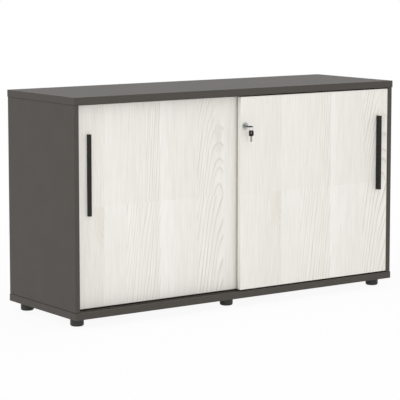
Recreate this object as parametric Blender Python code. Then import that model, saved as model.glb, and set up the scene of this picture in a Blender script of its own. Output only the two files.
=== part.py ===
# Low office cabinet with two overlapping sliding doors.
# Metres, +Z up, +X to the right, the front faces -Y. The origin is on the floor, under the middle
# of everything that stands on it, key and ring included.

import math

import bmesh
import bpy
from mathutils import Vector

# Carcass
CABINET_WIDTH = 1.400
CABINET_DEPTH = 0.445
BODY_HEIGHT = 0.750
BOARD_THICKNESS = 0.025
SIDE_THICKNESS = 0.018
DIVIDER_THICKNESS = 0.018
BOARD_OVERHANG = 0.002
EDGE_ROUND = 0.001
FIT_GAP = 0.0003
CUT_PAST = 0.010

# Back panel, in a groove all round
BACK_THICKNESS = 0.008
BACK_INSET = 0.010
GROOVE_DEPTH = 0.008

# Shelves on pins, in rows of holes
SHELF_THICKNESS = 0.018
SHELF_LEVEL = 0.341
SHELF_SETBACK = 0.020
SHELF_END_CLEARANCE = 0.001
SHELF_BACK_CLEARANCE = 0.002
PIN_RADIUS = 0.0025
PIN_DEPTH = 0.008
PIN_REACH = 0.008
PIN_COLLAR_RADIUS = 0.0034
PIN_COLLAR_THICKNESS = 0.0006
PIN_HOLE_CLEARANCE = 0.0002
PIN_ROW_INSET = 0.050
HOLE_PITCH = 0.032
HOLES_EACH_WAY = 2

# Feet, with a threaded stem in the bottom board
FOOT_HEIGHT = 0.030
FOOT_RADIUS = 0.0235
FOOT_EDGE_RADIUS = 0.006
FOOT_TOP_EDGE = 0.001
STEM_RADIUS = 0.005
STEM_CLEARANCE = 0.0003
STEM_TOP_COVER = 0.004
FOOT_SIDE_INSET = 0.042
FOOT_FRONT_INSET = 0.059
FOOT_BACK_INSET = 0.052
MIDDLE_FOOT_SHIFT = 0.030

# Sliding doors: the right one runs in front, the left one behind it
DOOR_THICKNESS = 0.018
DOOR_SETBACK = 0.004
DOOR_SPACING = 0.0115
DOOR_TOP_CLEARANCE = 0.0047
DOOR_BOTTOM_CLEARANCE = 0.0046
DOOR_END_CLEARANCE = 0.001
DIVIDER_CLEARANCE = 0.002
RIGHT_DOOR_LAP = 0.008
LEFT_DOOR_LAP = 0.026

# Rollers, their carriers and the running track
ROLLER_RADIUS = 0.010
ROLLER_SIDE_CLEARANCE = 0.001
ROLLER_BORE_CLEARANCE = 0.0003
ROLLER_INSET = 0.060
AXLE_RADIUS = 0.0018
CARRIER_LENGTH = 0.060
CARRIER_HEIGHT = 0.034
POCKET_SKIN = 0.004
WHEEL_SLOT_SIDE_CLEARANCE = 0.0006
WHEEL_SLOT_ROUND_CLEARANCE = 0.0015
CHANNEL_WIDTH = 0.008
CHANNEL_WALL = 0.0025
TRACK_BASE = 0.0015
RUN_CHANNEL_DEPTH = 0.003
GUIDE_CHANNEL_DEPTH = 0.006
TRACK_END_CLEARANCE = 0.0005

# Top guides
GUIDE_LENGTH = 0.040
GUIDE_HEIGHT = 0.018
GUIDE_SIDE_CLEARANCE = 0.0005
GUIDE_TONGUE_ENTRY = 0.0045
GUIDE_INSET = 0.045

# Track stops
FINGER_ROOM = 0.025
STOP_LENGTH = 0.012
STOP_HEIGHT = 0.0055
STOP_SIDE_CLEARANCE = 0.0003

# Handles and their screws
HANDLE_LENGTH = 0.277
HANDLE_WIDTH = 0.012
HANDLE_DEPTH_RIGHT = 0.018
HANDLE_PASS_CLEARANCE = 0.0005
LEFT_HANDLE_INSET = 0.055
RIGHT_HANDLE_INSET = 0.049
HANDLE_DROP = 0.0985
HANDLE_EDGE = 0.0005
SCREW_INSET = 0.022
SCREW_RADIUS = 0.002
SCREW_ENTRY = 0.006
SCREW_HEAD_RADIUS = 0.004
SCREW_HEAD_THICKNESS = 0.0024
SCREW_CLEARANCE = 0.0003
SCREW_HEAD_COVER = 0.0006

# Lock
LOCK_INSET = 0.019
LOCK_DROP = 0.1035
ROSETTE_RADIUS = 0.013
ROSETTE_THICKNESS = 0.0025
ROSETTE_CHAMFER = 0.0009
BARREL_RADIUS = 0.009
BARREL_CLEARANCE = 0.0003
BARREL_END = 0.0005
PLUG_RADIUS = 0.0055
PLUG_CLEARANCE = 0.0002
PLUG_HEAD_RADIUS = 0.0068
PLUG_HEAD_THICKNESS = 0.0022
NUT_THICKNESS = 0.003
NUT_ACROSS_FLATS = 0.024
CAM_THICKNESS = 0.0025
CAM_HUB_RADIUS = 0.006
CAM_TIP_RADIUS = 0.004
CAM_LENGTH = 0.016
TAIL_WIDTH = 0.006
TAIL_CLEARANCE = 0.0003
CAM_SCREW_HEAD_RADIUS = 0.0045
CAM_SCREW_HEAD_THICKNESS = 0.0018
CAM_SCREW_RADIUS = 0.0015
CAM_SCREW_LENGTH = 0.006
STRIKE_PLATE = 0.0015
STRIKE_LENGTH = 0.018
STRIKE_HEIGHT = 0.016
STRIKE_HOOK = 0.0025
STRIKE_SIDE_CLEARANCE = 0.0015
STRIKE_TOP_CLEARANCE = 0.002
STRIKE_SCREW_RADIUS = 0.0015
STRIKE_SCREW_HEAD_RADIUS = 0.0028
STRIKE_SCREW_LENGTH = 0.012
STRIKE_SCREW_SINK = 0.0001

# Keys and ring
KEY_STAND = 0.017
BOW_LENGTH = 0.021
BOW_WIDTH = 0.020
BOW_THICKNESS = 0.0032
BOW_WEB = 0.003
BOW_SLOT_LENGTH = 0.011
BOW_SLOT_WIDTH = 0.0036
BOW_WAIST = 0.06
BOW_ROUNDNESS = 3.4
BLADE_WIDTH = 0.007
BLADE_THICKNESS = 0.0018
BLADE_LENGTH = 0.020
BLADE_TANG = 0.004
BLADE_CLEARANCE = 0.0003
KEYWAY_END_CLEARANCE = 0.001
KEYWAY_CLEARANCE = 0.0004
RING_RADIUS = 0.010
RING_WIRE = 0.0008

# Sides of round shapes
ROUND_SIDES = 24
SMALL_SIDES = 12
LOCK_SIDES = 32
RING_STEPS = 40
WIRE_SIDES = 8
BOW_STEPS = 36

# Across the width
HALF_WIDTH = CABINET_WIDTH / 2
INNER_X = HALF_WIDTH - BOARD_OVERHANG - SIDE_THICKNESS
LEFT_DOOR_X = (-INNER_X + DOOR_END_CLEARANCE, LEFT_DOOR_LAP)
RIGHT_DOOR_X = (-RIGHT_DOOR_LAP, INNER_X - DOOR_END_CLEARANCE)
LEFT_HANDLE_X = LEFT_DOOR_X[0] + LEFT_HANDLE_INSET
RIGHT_HANDLE_X = RIGHT_DOOR_X[1] - RIGHT_HANDLE_INSET
LOCK_X = RIGHT_DOOR_X[0] + LOCK_INSET
STRIKE_HOOK_X = LOCK_X - CAM_HUB_RADIUS - STRIKE_SIDE_CLEARANCE
DOOR_TRAVEL = RIGHT_DOOR_X[0] - LEFT_HANDLE_X - HANDLE_WIDTH / 2 - FINGER_ROOM

# Heights above the floor
INNER_BOTTOM = FOOT_HEIGHT + BOARD_THICKNESS
INNER_TOP = FOOT_HEIGHT + BODY_HEIGHT - BOARD_THICKNESS
DOOR_BOTTOM = INNER_BOTTOM + DOOR_BOTTOM_CLEARANCE
DOOR_TOP = INNER_TOP - DOOR_TOP_CLEARANCE
HANDLE_TOP = DOOR_TOP - HANDLE_DROP
LOCK_Z = DOOR_TOP - LOCK_DROP
CHANNEL_FLOOR = INNER_BOTTOM - RUN_CHANNEL_DEPTH
AXLE_Z = CHANNEL_FLOOR + FIT_GAP + ROLLER_RADIUS
STRIKE_TOP = LOCK_Z - CAM_HUB_RADIUS - STRIKE_TOP_CLEARANCE
PIN_Z = INNER_BOTTOM + SHELF_LEVEL - FIT_GAP - PIN_RADIUS

# Depths behind the front edges of the boards
RIGHT_FACE = DOOR_SETBACK
RIGHT_BACK = RIGHT_FACE + DOOR_THICKNESS
LEFT_FACE = RIGHT_BACK + DOOR_SPACING
LEFT_BACK = LEFT_FACE + DOOR_THICKNESS
DIVIDER_FRONT = LEFT_BACK + DIVIDER_CLEARANCE
BACK_REAR = CABINET_DEPTH - BACK_INSET
BACK_FRONT = BACK_REAR - BACK_THICKNESS
SHELF_FRONT = DIVIDER_FRONT + SHELF_SETBACK
SHELF_REAR = BACK_FRONT - SHELF_BACK_CLEARANCE
HANDLE_DEPTH_LEFT = DOOR_SPACING - HANDLE_PASS_CLEARANCE
CARRIER_THICKNESS = DOOR_THICKNESS - POCKET_SKIN
ROLLER_WIDTH = CHANNEL_WIDTH - 2 * ROLLER_SIDE_CLEARANCE
GUIDE_TONGUE_WIDTH = CHANNEL_WIDTH - 2 * GUIDE_SIDE_CLEARANCE
KEYWAY_DEPTH = BLADE_LENGTH + KEYWAY_END_CLEARANCE

# Lengths along the lock, from the face of its door
BARREL_LENGTH = DOOR_THICKNESS + FIT_GAP + NUT_THICKNESS + BARREL_END
CAM_START = BARREL_LENGTH + FIT_GAP
PLUG_FRONT = ROSETTE_THICKNESS + FIT_GAP + PLUG_HEAD_THICKNESS

# The key's bow ends in a web, which the ring goes round
RING_INNER = RING_RADIUS - RING_WIRE
WEB_REACH = math.hypot(BOW_WEB / 2, BOW_THICKNESS / 2)
RING_DROP = RING_INNER - WEB_REACH - FIT_GAP
SPARE_WEB_RISE = RING_RADIUS - math.sqrt(RING_INNER**2 - (BOW_THICKNESS / 2) ** 2) + FIT_GAP + BOW_WEB / 2
WEB_DEPTH = RIGHT_FACE - KEY_STAND - BOW_LENGTH + BOW_WEB / 2
FRONT_REACH = RING_RADIUS + RING_WIRE - WEB_DEPTH
FRONT_Y = (FRONT_REACH - CABINET_DEPTH) / 2


def clear_scene():
    for old in list(bpy.data.objects):
        bpy.data.objects.remove(old, do_unlink=True)


def at_depth(depth):
    return FRONT_Y + depth


def make_material(name, colour, roughness, metallic=0.0):
    material = bpy.data.materials.new(name)
    material.use_nodes = True
    shader = material.node_tree.nodes["Principled BSDF"]
    shader.inputs["Base Color"].default_value = (*colour, 1.0)
    shader.inputs["Roughness"].default_value = roughness
    shader.inputs["Metallic"].default_value = metallic
    material.diffuse_color = (*colour, 1.0)
    return material


# Shapes: each is a pair of points and faces, and several make one mesh


def box_shape(low, high):
    points = [(x, y, z) for z in (low[2], high[2]) for y in (low[1], high[1]) for x in (low[0], high[0])]
    faces = [(0, 2, 3, 1), (4, 5, 7, 6), (0, 1, 5, 4), (2, 6, 7, 3), (0, 4, 6, 2), (1, 3, 7, 5)]
    return points, faces


def along_axis(axis, across, up, height):
    """A point at height along the axis, and across and up in the plane square to it."""
    return {"X": (height, across, up), "Y": (across, height, up), "Z": (across, up, height)}[axis]


def prism_shape(outline, low, high, axis):
    """An outline in the plane square to the axis, drawn out from low to high."""
    count = len(outline)
    points = [along_axis(axis, a, b, height) for height in (low, high) for a, b in outline]
    faces = [tuple(range(count)), tuple(range(count, 2 * count))]
    faces += [(i, (i + 1) % count, (i + 1) % count + count, i + count) for i in range(count)]
    return points, faces


def turned_shape(profile, sides, axis, at=(0.0, 0.0, 0.0)):
    """A profile of (radius, height) points turned round the axis. One that leaves the axis is a closed ring."""
    points = []
    rings = []
    for radius, height in profile:
        around = sides if radius > 0 else 1
        rings.append([len(points) + i for i in range(around)])
        for i in range(around):
            angle = 2 * math.pi * (i + 0.5) / sides
            place = along_axis(axis, radius * math.cos(angle), radius * math.sin(angle), height)
            points.append(tuple(Vector(place) + Vector(at)))
    pairs = list(zip(rings, rings[1:]))
    if profile[0][0] > 0:
        pairs.append((rings[-1], rings[0]))
    faces = []
    for first, second in pairs:
        for i in range(sides):
            j = (i + 1) % sides
            corners = [first[i % len(first)], first[j % len(first)], second[j % len(second)], second[i % len(second)]]
            faces.append(tuple(dict.fromkeys(corners)))
    return points, faces


def rod_shape(radius, low, high, sides, axis, at):
    return turned_shape([(0, low), (radius, low), (radius, high), (0, high)], sides, axis, at)


def make_mesh(name, shapes):
    shaped = bmesh.new()
    for points, faces in shapes:
        corners = [shaped.verts.new(point) for point in points]
        for face in faces:
            shaped.faces.new([corners[i] for i in face])
    bmesh.ops.recalc_face_normals(shaped, faces=shaped.faces)
    mesh = bpy.data.meshes.new(name)
    shaped.to_mesh(mesh)
    shaped.free()
    return mesh


def smooth(mesh):
    mesh.shade_smooth()
    mesh.set_sharp_from_angle(angle=math.radians(40))


# Objects


def holder(name, at, parent=None):
    """An empty on the axis of a joint. What moves with that joint hangs under it."""
    empty = bpy.data.objects.new(name, None)
    bpy.context.scene.collection.objects.link(empty)
    empty["place"] = tuple(at)
    set_under(empty, at, parent)
    return empty


def set_under(thing, at, parent):
    thing.parent = parent
    thing.location = Vector(at) - (Vector(parent["place"]) if parent else Vector())


def add_piece(name, mesh, look, at, parent):
    """An object whose mesh is drawn about the point at."""
    thing = bpy.data.objects.new(name, mesh)
    bpy.context.scene.collection.objects.link(thing)
    if not mesh.materials:
        mesh.materials.append(look)
    set_under(thing, at, parent)
    return thing


def add_block(name, low, high, look, parent, edge=0.0):
    middle = (Vector(low) + Vector(high)) / 2
    mesh = make_mesh(name, [box_shape(Vector(low) - middle, Vector(high) - middle)])
    block = add_piece(name, mesh, look, middle, parent)
    if edge:
        rounding = block.modifiers.new("edge", "BEVEL")
        rounding.width = edge
        rounding.segments = 2
    return block


def cut(target, shapes, operation="DIFFERENCE"):
    """Cuts the shapes, in world places, from the target, or joins them to it."""
    cutter = bpy.data.objects.new(target.name + "_tool", make_mesh(target.name + "_tool", shapes))
    bpy.context.scene.collection.objects.link(cutter)
    cutter.hide_render = True
    cutter.display_type = "WIRE"
    boolean = target.modifiers.new("shape", "BOOLEAN")
    boolean.operation = operation
    boolean.solver = "EXACT"
    boolean.object = cutter


# Carcass


def groove_in_board(low_z, high_z):
    """Stopped groove for the back panel, in the top or the bottom board."""
    end = INNER_X + GROOVE_DEPTH
    front = at_depth(BACK_FRONT - FIT_GAP)
    rear = at_depth(BACK_REAR + FIT_GAP)
    return box_shape((-end, front, low_z), (end, rear, high_z))


def track_depths():
    """Front and rear of a double track, whose channels lie under the middle of each door."""
    reach = CHANNEL_WIDTH / 2 + CHANNEL_WALL
    front = RIGHT_FACE + DOOR_THICKNESS / 2 - reach
    rear = LEFT_FACE + DOOR_THICKNESS / 2 + reach
    return at_depth(front), at_depth(rear)


def track_recess(low_z, high_z):
    front, rear = track_depths()
    return box_shape((-INNER_X, front - FIT_GAP, low_z), (INNER_X, rear + FIT_GAP, high_z))


def build_bottom_board(look, parent):
    front, rear = at_depth(0), at_depth(CABINET_DEPTH)
    board = add_block(
        "bottom_board", (-HALF_WIDTH, front, FOOT_HEIGHT), (HALF_WIDTH, rear, INNER_BOTTOM), look, parent, EDGE_ROUND
    )
    recess = INNER_BOTTOM - RUN_CHANNEL_DEPTH - TRACK_BASE - FIT_GAP
    above = INNER_BOTTOM + CUT_PAST
    holes = [
        rod_shape(STEM_RADIUS + STEM_CLEARANCE, FOOT_HEIGHT - CUT_PAST, above, ROUND_SIDES, "Z", (x, y, 0))
        for _, x, y in foot_places()
    ]
    cut(board, [groove_in_board(INNER_BOTTOM - GROOVE_DEPTH, above), track_recess(recess, above), *holes])


def build_top_board(look, parent):
    front, rear = at_depth(0), at_depth(CABINET_DEPTH)
    top = FOOT_HEIGHT + BODY_HEIGHT
    board = add_block("top_board", (-HALF_WIDTH, front, INNER_TOP), (HALF_WIDTH, rear, top), look, parent, EDGE_ROUND)
    recess = INNER_TOP + GUIDE_CHANNEL_DEPTH + TRACK_BASE + FIT_GAP
    below = INNER_TOP - CUT_PAST
    cut(board, [groove_in_board(below, INNER_TOP + GROOVE_DEPTH), track_recess(below, recess)])


def pin_rows():
    return at_depth(SHELF_FRONT + PIN_ROW_INSET), at_depth(SHELF_REAR - PIN_ROW_INSET)


def pin_holes(low_x, high_x):
    """Two rows of holes, with the pins of the shelf in the middle ones."""
    radius = PIN_RADIUS + PIN_HOLE_CLEARANCE
    return [
        rod_shape(radius, low_x, high_x, SMALL_SIDES, "X", (0, y, PIN_Z + step * HOLE_PITCH))
        for y in pin_rows()
        for step in range(-HOLES_EACH_WAY, HOLES_EACH_WAY + 1)
    ]


def build_side_panel(name, side, look, parent):
    """side is -1 for the left panel and 1 for the right one."""
    inner, outer = side * INNER_X, side * (INNER_X + SIDE_THICKNESS)
    low_z, high_z = INNER_BOTTOM + FIT_GAP, INNER_TOP - FIT_GAP
    front, rear = at_depth(BOARD_OVERHANG), at_depth(CABINET_DEPTH)
    panel = add_block(
        name, (min(inner, outer), front, low_z), (max(inner, outer), rear, high_z), look, parent, EDGE_ROUND
    )
    past = side * (INNER_X - CUT_PAST)
    groove_end = side * (INNER_X + GROOVE_DEPTH)
    hole_end = side * (INNER_X + PIN_DEPTH + FIT_GAP)
    groove = box_shape(
        (min(past, groove_end), at_depth(BACK_FRONT - FIT_GAP), low_z - CUT_PAST),
        (max(past, groove_end), at_depth(BACK_REAR + FIT_GAP), high_z + CUT_PAST),
    )
    cut(panel, [groove, *pin_holes(min(past, hole_end), max(past, hole_end))])


def build_divider(look, parent):
    half = DIVIDER_THICKNESS / 2
    low = (-half, at_depth(DIVIDER_FRONT), INNER_BOTTOM + FIT_GAP)
    high = (half, at_depth(BACK_FRONT - FIT_GAP), INNER_TOP - FIT_GAP)
    divider = add_block("centre_divider", low, high, look, parent, EDGE_ROUND)
    cut(divider, pin_holes(-half - CUT_PAST, half + CUT_PAST))


def build_back_panel(look, parent):
    end = INNER_X + GROOVE_DEPTH - FIT_GAP
    low = (-end, at_depth(BACK_FRONT), INNER_BOTTOM - GROOVE_DEPTH + FIT_GAP)
    high = (end, at_depth(BACK_REAR), INNER_TOP + GROOVE_DEPTH - FIT_GAP)
    add_block("back_panel", low, high, look, parent)


def build_shelf(name, side, look, parent):
    near = side * (DIVIDER_THICKNESS / 2 + SHELF_END_CLEARANCE)
    far = side * (INNER_X - SHELF_END_CLEARANCE)
    base = INNER_BOTTOM + SHELF_LEVEL
    low = (min(near, far), at_depth(SHELF_FRONT), base)
    high = (max(near, far), at_depth(SHELF_REAR), base + SHELF_THICKNESS)
    add_block(name, low, high, look, parent, EDGE_ROUND)


def build_shelf_pins(look, parent):
    """Four pins under each shelf: two in the side panel and two in the divider."""
    collar = FIT_GAP + PIN_COLLAR_THICKNESS
    profile = [
        (0, -PIN_DEPTH),
        (PIN_RADIUS, -PIN_DEPTH),
        (PIN_RADIUS, FIT_GAP),
        (PIN_COLLAR_RADIUS, FIT_GAP),
        (PIN_COLLAR_RADIUS, collar),
        (PIN_RADIUS, collar),
        (PIN_RADIUS, PIN_REACH),
        (0, PIN_REACH),
    ]
    mesh = make_mesh("shelf_pin", [turned_shape(profile, SMALL_SIDES, "X")])
    smooth(mesh)
    faces = {
        "left_shelf_pin_outer": (-INNER_X, 1),
        "left_shelf_pin_inner": (-DIVIDER_THICKNESS / 2, -1),
        "right_shelf_pin_inner": (DIVIDER_THICKNESS / 2, 1),
        "right_shelf_pin_outer": (INNER_X, -1),
    }
    for name, (x, way) in faces.items():
        for row, y in zip(("front", "rear"), pin_rows()):
            pin = add_piece(f"{name}_{row}", mesh, look, (x, y, PIN_Z), parent)
            pin.rotation_euler.z = 0 if way > 0 else math.pi


# Tracks


def build_track(name, channel_depth, base_z, way, look, parent):
    """Double channel track. way is 1 where the channels open upwards and -1 where they open downwards."""
    front, rear = track_depths()
    open_z = base_z + way * (TRACK_BASE + channel_depth)
    floor_z = base_z + way * TRACK_BASE
    outline = [(front, base_z), (front, open_z)]
    for face in (RIGHT_FACE, LEFT_FACE):
        middle = at_depth(face + DOOR_THICKNESS / 2)
        near, far = middle - CHANNEL_WIDTH / 2, middle + CHANNEL_WIDTH / 2
        outline += [(near, open_z), (near, floor_z), (far, floor_z), (far, open_z)]
    outline += [(rear, open_z), (rear, base_z)]
    end = INNER_X - TRACK_END_CLEARANCE
    add_piece(name, make_mesh(name, [prism_shape(outline, -end, end, "X")]), look, (0, 0, 0), parent)


def build_track_stop(name, roller_x, way, face, look, parent):
    """Block in a channel that the leading roller meets at the end of the door's travel."""
    height = STOP_HEIGHT + FIT_GAP
    roller_reach = math.sqrt(ROLLER_RADIUS**2 - (ROLLER_RADIUS - height) ** 2)
    near = roller_x + way * (DOOR_TRAVEL + roller_reach + FIT_GAP)
    far = near + way * STOP_LENGTH
    middle = at_depth(face + DOOR_THICKNESS / 2)
    half = CHANNEL_WIDTH / 2 - STOP_SIDE_CLEARANCE
    base = CHANNEL_FLOOR + FIT_GAP
    low = (min(near, far), middle - half, base)
    add_block(name, low, (max(near, far), middle + half, base + STOP_HEIGHT), look, parent)


# Doors


def roller_places(door_x):
    return door_x[0] + ROLLER_INSET, door_x[1] - ROLLER_INSET


def guide_places(door_x):
    return door_x[0] + GUIDE_INSET, door_x[1] - GUIDE_INSET


def screw_heights():
    return HANDLE_TOP - SCREW_INSET, HANDLE_TOP - HANDLE_LENGTH + SCREW_INSET


def build_door(name, door_x, face, handle_x, extra, look, parent):
    """Door panel with pockets for the carriers and the guides, and stepped holes for the handle screws."""
    front, back = at_depth(face), at_depth(face + DOOR_THICKNESS)
    low, high = (door_x[0], front, DOOR_BOTTOM), (door_x[1], back, DOOR_TOP)
    panel = add_block(name, low, high, look, parent, EDGE_ROUND)
    pocket_front = back - CARRIER_THICKNESS
    past = back + CUT_PAST
    shapes = list(extra)
    for x in roller_places(door_x):
        near, far = x - CARRIER_LENGTH / 2, x + CARRIER_LENGTH / 2
        shapes.append(
            box_shape((near, pocket_front, DOOR_BOTTOM - CUT_PAST), (far, past, DOOR_BOTTOM + CARRIER_HEIGHT))
        )
    for x in guide_places(door_x):
        near, far = x - GUIDE_LENGTH / 2, x + GUIDE_LENGTH / 2
        shapes.append(box_shape((near, pocket_front, DOOR_TOP - GUIDE_HEIGHT), (far, past, DOOR_TOP + CUT_PAST)))
    shank, head = SCREW_RADIUS + SCREW_CLEARANCE, SCREW_HEAD_RADIUS + SCREW_CLEARANCE
    step = back - SCREW_HEAD_COVER - SCREW_HEAD_THICKNESS - FIT_GAP
    profile = [(0, front - CUT_PAST), (shank, front - CUT_PAST), (shank, step), (head, step), (head, past), (0, past)]
    for z in screw_heights():
        shapes.append(turned_shape(profile, SMALL_SIDES, "Y", (handle_x, 0, z)))
    cut(panel, shapes)


def build_carrier(name, x, face, look, parent):
    """Block in the pocket of the door, with a slot for the roller and the axle across it."""
    back = at_depth(face + DOOR_THICKNESS)
    front = back - CARRIER_THICKNESS + FIT_GAP
    middle = at_depth(face + DOOR_THICKNESS / 2)
    half = CARRIER_LENGTH / 2 - FIT_GAP
    low = (x - half, front, DOOR_BOTTOM)
    high = (x + half, back, DOOR_BOTTOM + CARRIER_HEIGHT - FIT_GAP)
    carrier = add_block(name, low, high, look, parent)
    side = ROLLER_WIDTH / 2 + WHEEL_SLOT_SIDE_CLEARANCE
    around = ROLLER_RADIUS + WHEEL_SLOT_ROUND_CLEARANCE
    slot = box_shape(
        (x - around, middle - side, DOOR_BOTTOM - CUT_PAST), (x + around, middle + side, AXLE_Z + around)
    )
    cut(carrier, [slot])
    end = side + AXLE_RADIUS / 2
    cut(carrier, [rod_shape(AXLE_RADIUS, middle - end, middle + end, SMALL_SIDES, "Y", (x, 0, AXLE_Z))], "UNION")


def build_roller(name, x, face, look, parent):
    bore = AXLE_RADIUS + ROLLER_BORE_CLEARANCE
    half = ROLLER_WIDTH / 2
    edge = ROLLER_WIDTH / 10
    profile = [
        (bore, -half),
        (ROLLER_RADIUS - edge, -half),
        (ROLLER_RADIUS, -half + edge),
        (ROLLER_RADIUS, half - edge),
        (ROLLER_RADIUS - edge, half),
        (bore, half),
    ]
    mesh = make_mesh(name, [turned_shape(profile, ROUND_SIDES, "Y")])
    smooth(mesh)
    add_piece(name, mesh, look, (x, at_depth(face + DOOR_THICKNESS / 2), AXLE_Z), parent)


def build_guide(name, x, face, look, parent):
    """Block in the top of the door whose tongue runs in the guide track."""
    back = at_depth(face + DOOR_THICKNESS)
    front = back - CARRIER_THICKNESS + FIT_GAP
    middle = at_depth(face + DOOR_THICKNESS / 2)
    near, far = middle - GUIDE_TONGUE_WIDTH / 2, middle + GUIDE_TONGUE_WIDTH / 2
    base = DOOR_TOP - GUIDE_HEIGHT + FIT_GAP
    tip = INNER_TOP + GUIDE_TONGUE_ENTRY
    outline = [
        (front, base),
        (front, DOOR_TOP),
        (near, DOOR_TOP),
        (near, tip),
        (far, tip),
        (far, DOOR_TOP),
        (back, DOOR_TOP),
        (back, base),
    ]
    half = GUIDE_LENGTH / 2 - FIT_GAP
    add_piece(name, make_mesh(name, [prism_shape(outline, -half, half, "X")]), look, (x, 0, 0), parent)


def build_handle(name, x, face, depth, look, parent):
    """Solid bar on the face of a door, with two blind holes for its screws."""
    half = HANDLE_WIDTH / 2
    front, back = at_depth(face - depth), at_depth(face - FIT_GAP)
    low, high = (x - half, front, HANDLE_TOP - HANDLE_LENGTH), (x + half, back, HANDLE_TOP)
    handle = add_block(name, low, high, look, parent, HANDLE_EDGE)
    end = back - SCREW_ENTRY - FIT_GAP
    radius = SCREW_RADIUS + SCREW_CLEARANCE
    cut(
        handle,
        [rod_shape(radius, end, back + CUT_PAST, SMALL_SIDES, "Y", (x, 0, z)) for z in screw_heights()],
    )


def build_handle_screws(name, x, face, look, parent):
    back = at_depth(face + DOOR_THICKNESS) - SCREW_HEAD_COVER
    under = back - SCREW_HEAD_THICKNESS
    end = at_depth(face - FIT_GAP) - SCREW_ENTRY
    crown = SCREW_HEAD_RADIUS * 0.8
    profile = [
        (0, end - under),
        (SCREW_RADIUS, end - under),
        (SCREW_RADIUS, 0),
        (SCREW_HEAD_RADIUS, 0),
        (SCREW_HEAD_RADIUS, SCREW_HEAD_THICKNESS / 2),
        (crown, SCREW_HEAD_THICKNESS),
        (0, SCREW_HEAD_THICKNESS),
    ]
    mesh = make_mesh(name, [turned_shape(profile, SMALL_SIDES, "Y")])
    smooth(mesh)
    for where, z in zip(("upper", "lower"), screw_heights()):
        add_piece(f"{name}_{where}", mesh, look, (x, under, z), parent)


# Lock: every length along it starts at the face of the door, at the lock's axis


def lock_place():
    return (LOCK_X, at_depth(RIGHT_FACE), LOCK_Z)


def lock_hole():
    """Hole in the right door for the barrel."""
    low, high = at_depth(RIGHT_FACE - CUT_PAST), at_depth(RIGHT_BACK + CUT_PAST)
    return rod_shape(BARREL_RADIUS + BARREL_CLEARANCE, low, high, LOCK_SIDES, "Y", (LOCK_X, 0, LOCK_Z))


def build_lock_barrel(look, parent):
    bore = PLUG_RADIUS + PLUG_CLEARANCE
    profile = [
        (bore, -ROSETTE_THICKNESS),
        (ROSETTE_RADIUS - ROSETTE_CHAMFER, -ROSETTE_THICKNESS),
        (ROSETTE_RADIUS, ROSETTE_CHAMFER - ROSETTE_THICKNESS),
        (ROSETTE_RADIUS, -FIT_GAP),
        (BARREL_RADIUS, -FIT_GAP),
        (BARREL_RADIUS, BARREL_LENGTH),
        (bore, BARREL_LENGTH),
    ]
    mesh = make_mesh("lock_barrel", [turned_shape(profile, LOCK_SIDES, "Y")])
    smooth(mesh)
    add_piece("lock_barrel", mesh, look, lock_place(), parent)


def build_lock_nut(look, parent):
    x, y, z = lock_place()
    radius = NUT_ACROSS_FLATS / math.sqrt(3)
    low = y + DOOR_THICKNESS + FIT_GAP
    shape = rod_shape(radius, 0, NUT_THICKNESS, 6, "Y", (0, 0, 0))
    nut = add_piece("lock_nut", make_mesh("lock_nut", [shape]), look, (x, low, z), parent)
    bore = BARREL_RADIUS + BARREL_CLEARANCE
    cut(nut, [rod_shape(bore, low - CUT_PAST, low + NUT_THICKNESS + CUT_PAST, LOCK_SIDES, "Y", (x, 0, z))])


def build_lock_plug(look, parent):
    """Turning core: a head, a body in the barrel, a square tail for the cam, a keyway and a screw hole."""
    x, y, z = lock_place()
    head_back = -ROSETTE_THICKNESS - FIT_GAP
    profile = [
        (0, -PLUG_FRONT),
        (PLUG_HEAD_RADIUS, -PLUG_FRONT),
        (PLUG_HEAD_RADIUS, head_back),
        (PLUG_RADIUS, head_back),
        (PLUG_RADIUS, BARREL_LENGTH),
        (0, BARREL_LENGTH),
    ]
    mesh = make_mesh("lock_plug", [turned_shape(profile, LOCK_SIDES, "Y")])
    smooth(mesh)
    plug = add_piece("lock_plug", mesh, look, lock_place(), parent)
    half = TAIL_WIDTH / 2
    tail_end = y + CAM_START + CAM_THICKNESS - FIT_GAP
    cut(plug, [box_shape((x - half, y + BARREL_LENGTH - half, z - half), (x + half, tail_end, z + half))], "UNION")
    across = BLADE_WIDTH / 2 + KEYWAY_CLEARANCE
    through = BLADE_THICKNESS / 2 + KEYWAY_CLEARANCE
    keyway = box_shape(
        (x - across, y - PLUG_FRONT - CUT_PAST, z - through),
        (x + across, y - PLUG_FRONT + KEYWAY_DEPTH, z + through),
    )
    bore = CAM_SCREW_RADIUS + SCREW_CLEARANCE
    screw_end = tail_end - CAM_SCREW_LENGTH
    cut(plug, [keyway, rod_shape(bore, screw_end, tail_end + CUT_PAST, SMALL_SIDES, "Y", (x, 0, z))])


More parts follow.
